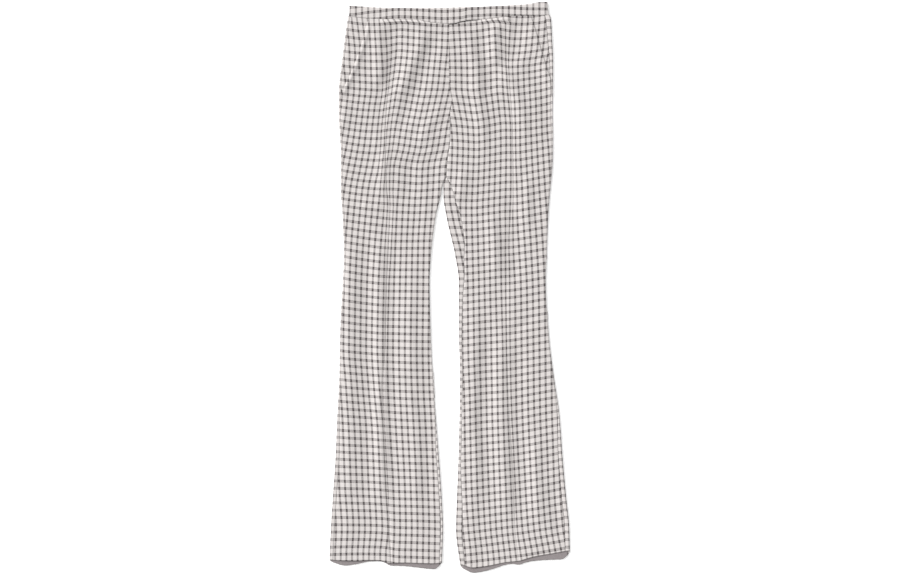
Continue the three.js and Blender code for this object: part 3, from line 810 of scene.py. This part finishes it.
def station_down(side, down, across, back_share):
    """How far down a station really lies, with the waist seam and the hem line followed."""
    front_seam = band_seam_down(across)
    seam = front_seam + (back_waist_seam(across) - front_seam) * back_share + SEAM_GAP / 2
    front_hem = side.front_hem(across)
    hem = front_hem + (side.back_hem(across) - front_hem) * back_share
    waist_shift = (seam - WAIST_DOWN) * (1 - ease((down - WAIST_DOWN) / WAIST_BLEND))
    hem_shift = (hem - HEM_DOWN) * (1 - ease((HEM_DOWN - down) / HEM_BLEND))
    return down + waist_shift + hem_shift


def half_gap(wrap):
    return SEAM_GAP / 2 + EDGE_SEAM_EXTRA * (1 - np.clip(wrap / 2, 0, 1))


def spread(count, gather=0.5):
    """Shares from 0 to 1, closer together at both ends."""
    t = np.linspace(0, 1, count)
    return t * (1 - gather) + gather * (1 - np.cos(math.pi * t)) / 2


def to_metres(across, down, height):
    """Places in the frame's metres. The waistband's highest point lies on the CAD box's top in Y."""
    x = cad_low.x + (across - SECTIONS["rightOuter"].min()) * MM
    y = cad_high.y - down * MM
    return np.stack(np.broadcast_arrays(x, y, height * MM), axis=-1)


def grid_normals(points):
    down_way = np.gradient(points, axis=0)
    across_way = np.gradient(points, axis=1)
    normal = np.cross(down_way, across_way)
    size = np.linalg.norm(normal, axis=-1, keepdims=True)
    return normal / np.maximum(size, 1e-12)


def grid_faces(index):
    """Quads between the cells of a grid of vertex numbers."""
    quads = np.stack([index[:-1, :-1], index[1:, :-1], index[1:, 1:], index[:-1, 1:]], axis=-1)
    return quads.reshape(-1, 4)


def ring_of(grid):
    """The border of a grid, once round."""
    return np.concatenate([grid[0, :-1], grid[:-1, -1], grid[-1, :0:-1], grid[:0:-1, 0]])


def make_shell(name, outer, grain, thickness, outward_sign, material):
    """A thin closed shell from a grid of its outer points, with its edges turned round."""
    normal = grid_normals(outer) * outward_sign
    inner = outer - normal * thickness * MM
    rows, columns = outer.shape[:2]
    count = rows * columns
    outer_index = np.arange(count).reshape(rows, columns)
    inner_index = outer_index + count
    outer_ring, inner_ring = ring_of(outer_index), ring_of(inner_index)
    border = ring_of(outer)
    inside = ring_of(inner)
    inset = np.pad(outer[1:-1, 1:-1], ((1, 1), (1, 1), (0, 0)), mode="edge")
    outward_way = border - ring_of(inset)
    outward_way -= np.sum(outward_way * ring_of(normal), axis=-1, keepdims=True) * ring_of(normal)
    outward_way /= np.maximum(np.linalg.norm(outward_way, axis=-1, keepdims=True), 1e-12)
    middle = (border + inside) / 2 + outward_way * EDGE_BULGE * thickness * MM
    middle_index = np.arange(len(middle)) + 2 * count
    vertices = np.concatenate([outer.reshape(-1, 3), inner.reshape(-1, 3), middle])
    vertex_grain = np.concatenate([grain.reshape(-1, 2), grain.reshape(-1, 2), ring_of(grain)])
    next_outer, next_middle, next_inner = (
        np.roll(ring, -1) for ring in (outer_ring, middle_index, inner_ring)
    )
    first_rim = np.stack([outer_ring, next_outer, next_middle, middle_index], axis=-1)
    second_rim = np.stack([middle_index, next_middle, next_inner, inner_ring], axis=-1)
    faces = np.concatenate(
        [grid_faces(outer_index), grid_faces(inner_index)[:, ::-1], first_rim, second_rim]
    )
    if outward_sign < 0:
        faces = faces[:, ::-1]
    mesh = bpy.data.meshes.new(name)
    mesh.from_pydata(vertices.tolist(), [], faces.tolist())
    mesh.polygons.foreach_set("use_smooth", [True] * len(faces))
    uv_layer = mesh.uv_layers.new(name="grain")
    corner_vertex = np.empty(len(mesh.loops), dtype=np.int32)
    mesh.loops.foreach_get("vertex_index", corner_vertex)
    uv_layer.data.foreach_set("uv", vertex_grain[corner_vertex].astype(np.float32).ravel())
    mesh.materials.append(material)
    mesh.update()
    return put_in_scene(name, mesh)


def panel_downs():
    """The stations of the long panels, closer at the waist and at the crotch."""
    runs = [
        (35, 60, 1.2),
        (60, 330, 3),
        (330, 336, 1.5),
        (337.5, 356, 1.5),
        (356, 1062, 3.4),
        (1062, 1081, 1.5),
    ]
    downs = np.concatenate([np.arange(start, end, step) for start, end, step in runs])
    return np.unique(np.minimum(downs, HEM_DOWN))


PANEL_DOWNS = panel_downs()


def seam_ditch(distance):
    """Cloth dips a little where it is sewn."""
    return SEAM_DITCH * bump(distance, SEAM_DITCH_SPREAD)


def front_panel(side, material):
    """The front leg and hip, dense beside its crease line, with its piece under the fly's lap."""
    section = make_section(side, PANEL_DOWNS)
    down, quarter, length = section.down, section.quarter, section.length
    inner_wrap, outer_wrap = side.inner_wrap(down), side.outer_wrap(down)
    underlap = FLY_UNDERLAP if side is RIGHT else 0
    lap = underlap * (1 - ease((down - FLY_UNDERLAP_DOWN) / FLY_UNDERLAP_BLEND))
    open_start = SEAM_GAP / 2 * quarter / FOLD_RADIUS
    closed_start = wrap_length(section, inner_wrap) + half_gap(inner_wrap)
    start = np.where(section.open, open_start, closed_start)
    in_mouth = down < MOUTH_END_DOWN
    edge = np.where(in_mouth, np.maximum(side.mouth(down), outer_wrap), outer_wrap)
    end = length - wrap_length(section, edge) - half_gap(edge)
    crease = np.abs(crease_line(side, down) - section.inner) - FOLD_RADIUS + quarter
    inner_half = between(start, crease, spread(FRONT_INNER_COLUMNS)[:-1])
    u = np.concatenate([inner_half, between(crease, end, spread(FRONT_OUTER_COLUMNS))], axis=1)
    across, height = loop_point(section, u, True, lambda x: front_top(side, down, x))
    below_fly = ease((down - INNER_DITCH_DOWN) / INNER_DITCH_BLEND)
    height = height - seam_ditch(u - start) * below_fly - seam_ditch(end - u) * ~in_mouth
    lap_share = np.clip(1 - np.arange(u.shape[1]) / FLY_UNDERLAP_COLUMNS, 0, 1)
    across = across - side.outward * lap * lap_share
    real_down = station_down(side, down, across, 0)
    slit = ease((SLIT_END_ACROSS - across) / SLIT_END_BLEND)
    slit = slit * ease((across - SLIT_START_ACROSS) / SLIT_START_BLEND)
    real_down = real_down + SLIT_WIDTH * slit * (1 - ease((down - WAIST_DOWN) / SLIT_DEPTH))
    outer = to_metres(across, real_down, height)
    grain = front_grain(side, across, real_down)
    return make_shell(f"scene_front_{side.name}", outer, grain, CLOTH, side.outward, material)


def back_grain(section, path, inner_wrap, outer_wrap, real_down):
    """The back's check, with a dark line just round each fold and one along the seams there."""
    side, length = section.side, section.length
    half = length / 2

    def straight(place):
        unrolled = section.inner + side.outward * (FOLD_RADIUS + place - section.quarter)
        return front_grain(side, np.clip(unrolled, 1 - GRID_REACH, GRID_REACH - 1), real_down)

    grain = straight(path)
    grain[..., 1] += BACK_CHECK_DROP * (1 - np.clip(path / length, 0, 1))
    folds = (
        (inner_wrap, 0 * length, -side.outward, -path, ease(1 - path / half)),
        (outer_wrap, length, side.outward, path - length, ease(path / half - 1)),
    )
    for wrap, fold, way, past, near in folds:
        width = np.maximum(wrap_length(section, wrap), NARROWEST_WRAP)
        rate = np.maximum(1 / CHECK_ACROSS, WRAP_REPEATS / (width - LINE_PAST_FOLD))
        there = straight(fold)[..., 0]
        wanted = np.floor(there.mean()) + 0.5 - way * rate * LINE_PAST_FOLD
        grain[..., 0] += (wanted - there) * near
        grain[..., 0] += way * (rate - 1 / CHECK_ACROSS) * np.maximum(past, 0)
    return grain


def back_panel(side, material):
    """The back leg and hip, which goes round both folds on to the front."""
    section = make_section(side, PANEL_DOWNS)
    down, quarter, length = section.down, section.quarter, section.length
    inner_wrap, outer_wrap = side.inner_wrap(down), side.outer_wrap(down)
    open_start = SEAM_GAP / 2 * quarter / FOLD_RADIUS
    closed_start = half_gap(inner_wrap) - wrap_length(section, inner_wrap)
    start = np.where(section.open, open_start, closed_start)
    end = length + wrap_length(section, outer_wrap) - half_gap(outer_wrap)
    path = np.concatenate(
        [
            between(start, quarter, spread(BACK_INNER_COLUMNS, 0.2)[:-1]),
            between(quarter, length - quarter, np.linspace(0, 1, BACK_MIDDLE_COLUMNS)[:-1]),
            between(length - quarter, end, spread(BACK_OUTER_COLUMNS, 0.2)),
        ],
        axis=1,
    )
    on_front = (path < 0) | (path > length)
    u = np.where(path < 0, -path, np.where(path > length, 2 * length - path, path))
    across, height = loop_point(section, u, on_front, lambda x: plain_top(side, down, x))
    from_inner = np.clip(u / quarter, 0, 1) / 2
    from_outer = np.clip((length - u) / quarter, 0, 1) / 2
    inner_share = np.where(section.open, 1, np.where(path < 0, 0.5 - from_inner, 0.5 + from_inner))
    outer_share = np.where(path > length, 0.5 - from_outer, 0.5 + from_outer)
    back_share = np.minimum(inner_share, outer_share)
    ditch = seam_ditch(path - start) * (path < 0) + seam_ditch(end - path) * (path > length)
    real_down = station_down(side, down, across, back_share)
    outer = to_metres(across, real_down, height - ditch)
    grain = back_grain(section, path, inner_wrap, outer_wrap, real_down)
    return make_shell(f"scene_back_{side.name}", outer, grain, CLOTH, -side.outward, material)


def hip_piece(side, material):
    """The cloth between the pocket mouth and the side seam, which runs on under the lip."""
    downs = PANEL_DOWNS[PANEL_DOWNS < HIP_PIECE_END_DOWN]
    section = make_section(side, downs)
    down, quarter, length = section.down, section.quarter, section.length
    mouth = np.maximum(side.mouth(down), side.outer_wrap(down) + 0.5)
    tucked_in = HIP_SEAM_TUCK * ease((down - HIP_SEAM_TUCK_DOWN) / HIP_SEAM_TUCK_BLEND)
    seam = wrap_length(section, side.outer_wrap(down)) + SEAM_GAP / 2 + tucked_in
    lip = np.maximum(quarter - FOLD_RADIUS + mouth, seam + 1)
    shown = between(seam, lip, spread(HIP_COLUMNS)[:-1])
    covered = between(lip, lip + MOUTH_UNDERLAP, spread(HIP_UNDERLAP_COLUMNS))
    from_outer = np.concatenate([shown, covered], axis=1)

    def surface(x):
        inside = np.abs(side.outer(down) - x) - mouth
        free = plain_top(side, down, x)
        below = np.minimum(front_top(side, down, x) - SOLID_CLOTH - SEAM_GAP, free)
        tucked = ease((down - HIP_SINK_END_DOWN) / HIP_SINK_END_BLEND)
        return below + (free - below) * ease(-inside / HIP_SINK_BLEND) * (1 - tucked)

    across, height = loop_point(section, length - from_outer, True, surface)
    height = height - seam_ditch(from_outer - seam)
    real_down = station_down(side, down, across, 0)
    outer = to_metres(across, real_down, height)
    grain = front_grain(side, across, real_down)
    if side is RIGHT:
        grain[..., 0] += HIP_CHECK_LEAN * (real_down - HIP_CHECK_MATCH_DOWN) / CHECK_ACROSS
    return make_shell(f"scene_hip_{side.name}", outer, grain, CLOTH, -side.outward, material)


def waistband(side, material):
    """Half of the band, from the centre front round the side to the centre back."""
    shares = spread(BAND_ROWS, 0.6)[:, None]
    outer = side.outer(27 * shares)
    half = BAND_TOP / 2
    flat_end = outer - side.outward * BAND_FOLD_RADIUS
    first = BAND_UNDERLAP if side is RIGHT else -BAND_OVERLAP
    centre = side.outward * SEAM_GAP / 2
    angle = np.linspace(0, math.pi, BAND_TURN_COLUMNS)[None, :]
    on_front = between(first, flat_end, np.linspace(0, 1, BAND_FRONT_COLUMNS + 1)[None, :-1])
    on_turn = flat_end + side.outward * BAND_FOLD_RADIUS * np.sin(angle)
    on_back = between(flat_end, centre, np.linspace(0, 1, BAND_BACK_COLUMNS)[None, 1:])
    across = np.concatenate([on_front, on_turn, on_back], axis=1)
    lap_rise = BAND_LAP_RISE if side is LEFT else 0
    front_height = BAND_TOP + lap_rise * ease((BAND_LAP_ACROSS - on_front) / BAND_LAP_BLEND)
    turn_height = half + half * np.cos(angle) + 0 * outer
    height = np.concatenate([front_height, turn_height, 0 * on_back], axis=1)
    turn_middle = BAND_FRONT_COLUMNS + BAND_TURN_COLUMNS // 2
    is_back = np.arange(across.shape[1])[None, :] > turn_middle
    seam = np.where(is_back, back_waist_seam(across), band_seam_down(across))
    top = band_top_down(across) + BAND_BACK_DROP * is_back
    tucked = BAND_UNDERLAP_SHORTER * ((across > 0) & (side is RIGHT) & ~is_back)
    full_seam = seam - SEAM_GAP / 2 - tucked
    down = top + (full_seam - top) * shares
    edge = np.minimum(down - top, full_seam - down)
    rounding = BAND_EDGE_ROUNDING * bump(edge, BAND_EDGE_SPREAD)
    height = height + np.where(is_back, rounding, -rounding)
    points = to_metres(across, down, height)
    unrolled = np.where(is_back, 2 * outer - across, across)
    line = np.where(is_back, 5 + top, curve(BAND_LINE, "across", "down")(across))
    along = (0.959 * unrolled + BAND_CHECK_START) / CHECK_ACROSS
    grain = np.stack([along, (down - line) / CHECK_DOWN + 0.5], axis=-1)
    return make_shell(f"scene_band_{side.name}", points, grain, BAND_CLOTH, side.outward, material)


def hem_strip(side, material):
    """The plain strip inside the back hem."""
    depths = np.array([1, 2, 4, 7, 11, 16, 22, 30, HEM_FACING_DEPTH], dtype=float)[:, None]
    inset = side.outward * (FOLD_RADIUS + HEM_FACING_INSET)
    start, end = side.inner(HEM_DOWN) + inset, side.outer(HEM_DOWN) - inset
    across = np.linspace(start, end, HEM_FACING_COLUMNS)[None, :] + 0 * depths
    down = station_down(side, HEM_DOWN, across, 1) - depths
    height = SOLID_CLOTH + SEAM_GAP + FACING_CLOTH + 0 * down
    points = to_metres(across, down, height)
    under_front = side.front_hem(across) - down
    grain = np.stack([across / CHECK_ACROSS, under_front / CHECK_DOWN], axis=-1)
    return make_shell(f"scene_hem_{side.name}", points, grain, FACING_CLOTH, side.outward, material)


def put_in_scene(name, data):
    new = bpy.data.objects.new(name, data)
    bpy.context.scene.collection.objects.link(new)
    return new


class Nodes:
    """A short way to write a material's nodes."""

    def __init__(self, name):
        self.material = bpy.data.materials.new(name)
        self.material.use_nodes = True
        self.tree = self.material.node_tree
        self.shader = self.tree.nodes["Principled BSDF"]

    def add(self, kind, inputs=(), **settings):
        node = self.tree.nodes.new(kind)
        for key, value in settings.items():
            setattr(node, key, value)
        for key, value in dict(inputs).items():
            if isinstance(value, bpy.types.NodeSocket):
                self.tree.links.new(value, node.inputs[key])
            else:
                node.inputs[key].default_value = value
        return node

    def math(self, operation, *values):
        return self.add("ShaderNodeMath", dict(enumerate(values)), operation=operation).outputs[0]

    def smooth(self, value, low, high):
        inputs = {0: value, 1: low, 2: high, 3: 0.0, 4: 1.0}
        return self.add("ShaderNodeMapRange", inputs, interpolation_type="SMOOTHSTEP").outputs[0]

    def mix(self, share, first, second):
        inputs = {0: share, 6: first, 7: second}
        return self.add("ShaderNodeMix", inputs, data_type="RGBA").outputs[2]

    def noise(self, vector, scale, detail=2.0):
        inputs = {"Vector": vector, "Scale": scale, "Detail": detail}
        return self.add("ShaderNodeTexNoise", inputs).outputs["Fac"]

    def link(self, socket, name):
        self.tree.links.new(socket, self.shader.inputs[name])


def stripe(n, place, half_width, softness=0.03):
    """1 inside a stripe at the middle of each repeat, 0 outside it."""
    away = n.math("ABSOLUTE", n.math("SUBTRACT", n.math("FRACT", place), 0.5))
    outside = n.smooth(away, half_width - softness, half_width + softness)
    return n.math("SUBTRACT", 1.0, outside)


def weave_height(n, along, below):
    """Round yarns, over and under."""
    over = n.math("COSINE", n.math("MULTIPLY", along, 2 * math.pi * YARNS_ACROSS / 2))
    under = n.math("COSINE", n.math("MULTIPLY", below, 2 * math.pi * YARNS_DOWN / 2))
    return n.math("MULTIPLY", over, under)


def check_cloth():
    """Dark warp and weft stripes on a pale ground, mixed as in a twill."""
    n = Nodes("check_cloth")
    grain = n.add("ShaderNodeUVMap", uv_map="grain").outputs[0]
    wobble = n.math("MULTIPLY", n.math("SUBTRACT", n.noise(grain, 3.1), 0.5), 0.05)
    split = n.add("ShaderNodeSeparateXYZ", {0: grain})
    along = n.math("ADD", split.outputs[0], wobble)
    below = n.math("SUBTRACT", split.outputs[1], wobble)
    warp = stripe(n, along, WARP_HALF_WIDTH)
    weft_band = stripe(n, below, WEFT_HALF_WIDTH)
    weft_split = n.math("MULTIPLY", stripe(n, below, WEFT_SPLIT), 0.3)
    weft = n.math("SUBTRACT", weft_band, weft_split)
    yarn_across = n.math("MULTIPLY", along, YARNS_ACROSS)
    yarn_down = n.math("MULTIPLY", below, YARNS_DOWN)
    diagonal = n.math("ADD", yarn_across, yarn_down)
    twill = n.math("SINE", n.math("MULTIPLY", diagonal, math.pi / 2))
    weft_share = n.math("MULTIPLY_ADD", twill, 0.3, 0.5)
    dark_share = n.math(
        "ADD",
        n.math("MULTIPLY", weft, weft_share),
        n.math("MULTIPLY", warp, n.math("SUBTRACT", 1.0, weft_share)),
    )
    heather = n.math("MULTIPLY_ADD", n.noise(grain, 9.0, 4.0), 0.16, 0.92)
    color = n.mix(dark_share, CHECK_GROUND, CHECK_DARK)
    heather_grey = n.add("ShaderNodeCombineColor", {0: heather, 1: heather, 2: heather}).outputs[0]
    inputs = {0: 1.0, 6: color, 7: heather_grey}
    shaded = n.add("ShaderNodeMix", inputs, data_type="RGBA", blend_type="MULTIPLY")
    n.link(shaded.outputs[2], "Base Color")
    n.shader.inputs["Roughness"].default_value = 0.9
    n.shader.inputs["Specular IOR Level"].default_value = 0.25
    n.shader.inputs["Sheen Weight"].default_value = 0.12
    n.shader.inputs["Sheen Roughness"].default_value = 0.5
    height = weave_height(n, along, below)
    relief_node = n.add("ShaderNodeBump", {"Strength": 0.25, "Distance": 0.0001, "Height": height})
    n.link(relief_node.outputs[0], "Normal")
    return n.material


def plain_facing():
    """Plain cloth, with shade painted darker along and under the front hem's edge."""
    n = Nodes("plain_facing")
    grain = n.add("ShaderNodeUVMap", uv_map="grain").outputs[0]
    split = n.add("ShaderNodeSeparateXYZ", {0: grain})
    height = weave_height(n, split.outputs[0], split.outputs[1])
    slub = n.smooth(n.noise(grain, 6.0, 4.0), 0.3, 0.7)
    open_color = n.mix(slub, FACING_DARK, FACING_LIGHT)
    # Painted shade: the colour darkens toward the front hem's edge and stays dark under it.
    covered = n.smooth(split.outputs[1], -0.16, 0.02)
    n.link(n.mix(covered, open_color, FACING_PAINTED_SHADE), "Base Color")
    n.shader.inputs["Roughness"].default_value = 0.75
    n.shader.inputs["Sheen Weight"].default_value = 0.1
    relief_node = n.add("ShaderNodeBump", {"Strength": 0.3, "Distance": 0.0001, "Height": height})
    n.link(relief_node.outputs[0], "Normal")
    return n.material


def make_floor():
    """A white ground that also glows faintly, a painted light that fills the shadows cast on it."""
    size = FLOOR_HALF_WIDTH
    mesh = bpy.data.meshes.new("floor")
    corners = [(-size, -size, 0), (size, -size, 0), (size, size, 0), (-size, size, 0)]
    mesh.from_pydata(corners, [], [(0, 1, 2, 3)])
    floor = put_in_scene("floor", mesh)
    floor.location.z = cad_low.z - FLOOR_GAP * MM
    n = Nodes("floor")
    faint = n.add("ShaderNodeTexNoise", {"Scale": 3.0}).outputs["Fac"]
    n.link(n.mix(faint, (0.93, 0.93, 0.93, 1), (0.95, 0.95, 0.95, 1)), "Base Color")
    n.shader.inputs["Roughness"].default_value = 0.9
    # Painted light: the floor glows, which washes out the shadows cast on it.
    n.shader.inputs["Emission Color"].default_value = (1, 1, 1, 1)
    n.shader.inputs["Emission Strength"].default_value = FLOOR_GLOW
    mesh.materials.append(n.material)
    return floor


def light_scene():
    """A broad key light from the upper left, and an even white surround."""
    world = bpy.data.worlds.new("studio")
    world.use_nodes = True
    background = world.node_tree.nodes["Background"]
    background.inputs[0].default_value = (1, 1, 1, 1)
    background.inputs[1].default_value = SURROUND_LEVEL
    bpy.context.scene.world = world
    data = bpy.data.lights.new("key", "SUN")
    data.energy = KEY_LEVEL * math.pi / math.sin(math.radians(KEY_ELEVATION))
    data.angle = math.radians(KEY_BREADTH)
    key = put_in_scene("key", data)
    turn = math.radians(KEY_AZIMUTH)
    rise = math.tan(math.radians(KEY_ELEVATION))
    toward_light = Vector((math.cos(turn), math.sin(turn), rise))
    key.rotation_euler = toward_light.to_track_quat("Z", "Y").to_euler()


def add_camera():
    """A camera straight above the middle of the picture."""
    data = bpy.data.cameras.new("camera")
    data.sensor_width = SENSOR
    data.lens = CAMERA_LENS
    camera = put_in_scene("camera", data)
    middle = to_metres(FRAME_MIDDLE_ACROSS, FRAME_MIDDLE_DOWN, 0)
    distance = FRAME_WIDTH * MM * CAMERA_LENS / SENSOR
    camera.location = (middle[0], middle[1], distance)
    bpy.context.scene.camera = camera


def dress():
    """Makes each piece and says what it rides on, replaces and is made of."""
    check, plain = check_cloth(), plain_facing()
    floor = make_floor()
    # Widths and areas are for the wearer's right and left, in metres and square metres.
    cuts = {
        "back_panel": (back_panel, check, (0.25, 0.25), 1.075, (0.212, 0.218)),
        "front_panel": (front_panel, check, (0.237, 0.237), 1.06, (0.196, 0.189)),
        "pocket_facing": (hip_piece, check, (0.067, 0.053), 0.165, (0.0056, 0.0043)),
        "waistband": (waistband, check, (0.42, 0.42), 0.031, (0.0088, 0.0086)),
        "hem_facing": (hem_strip, plain, (0.209, 0.205), 0.038, (0.0078, 0.0076)),
    }
    for node, (make, material, widths, length, areas) in cuts.items():
        for side, width, area in zip((RIGHT, LEFT), widths, areas):
            piece = make(side, material)
            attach(piece, "root")
            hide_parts(f"{node}_{side.name}")


dress()
light_scene()
add_camera()
bpy.context.scene.view_settings.view_transform = "Standard"
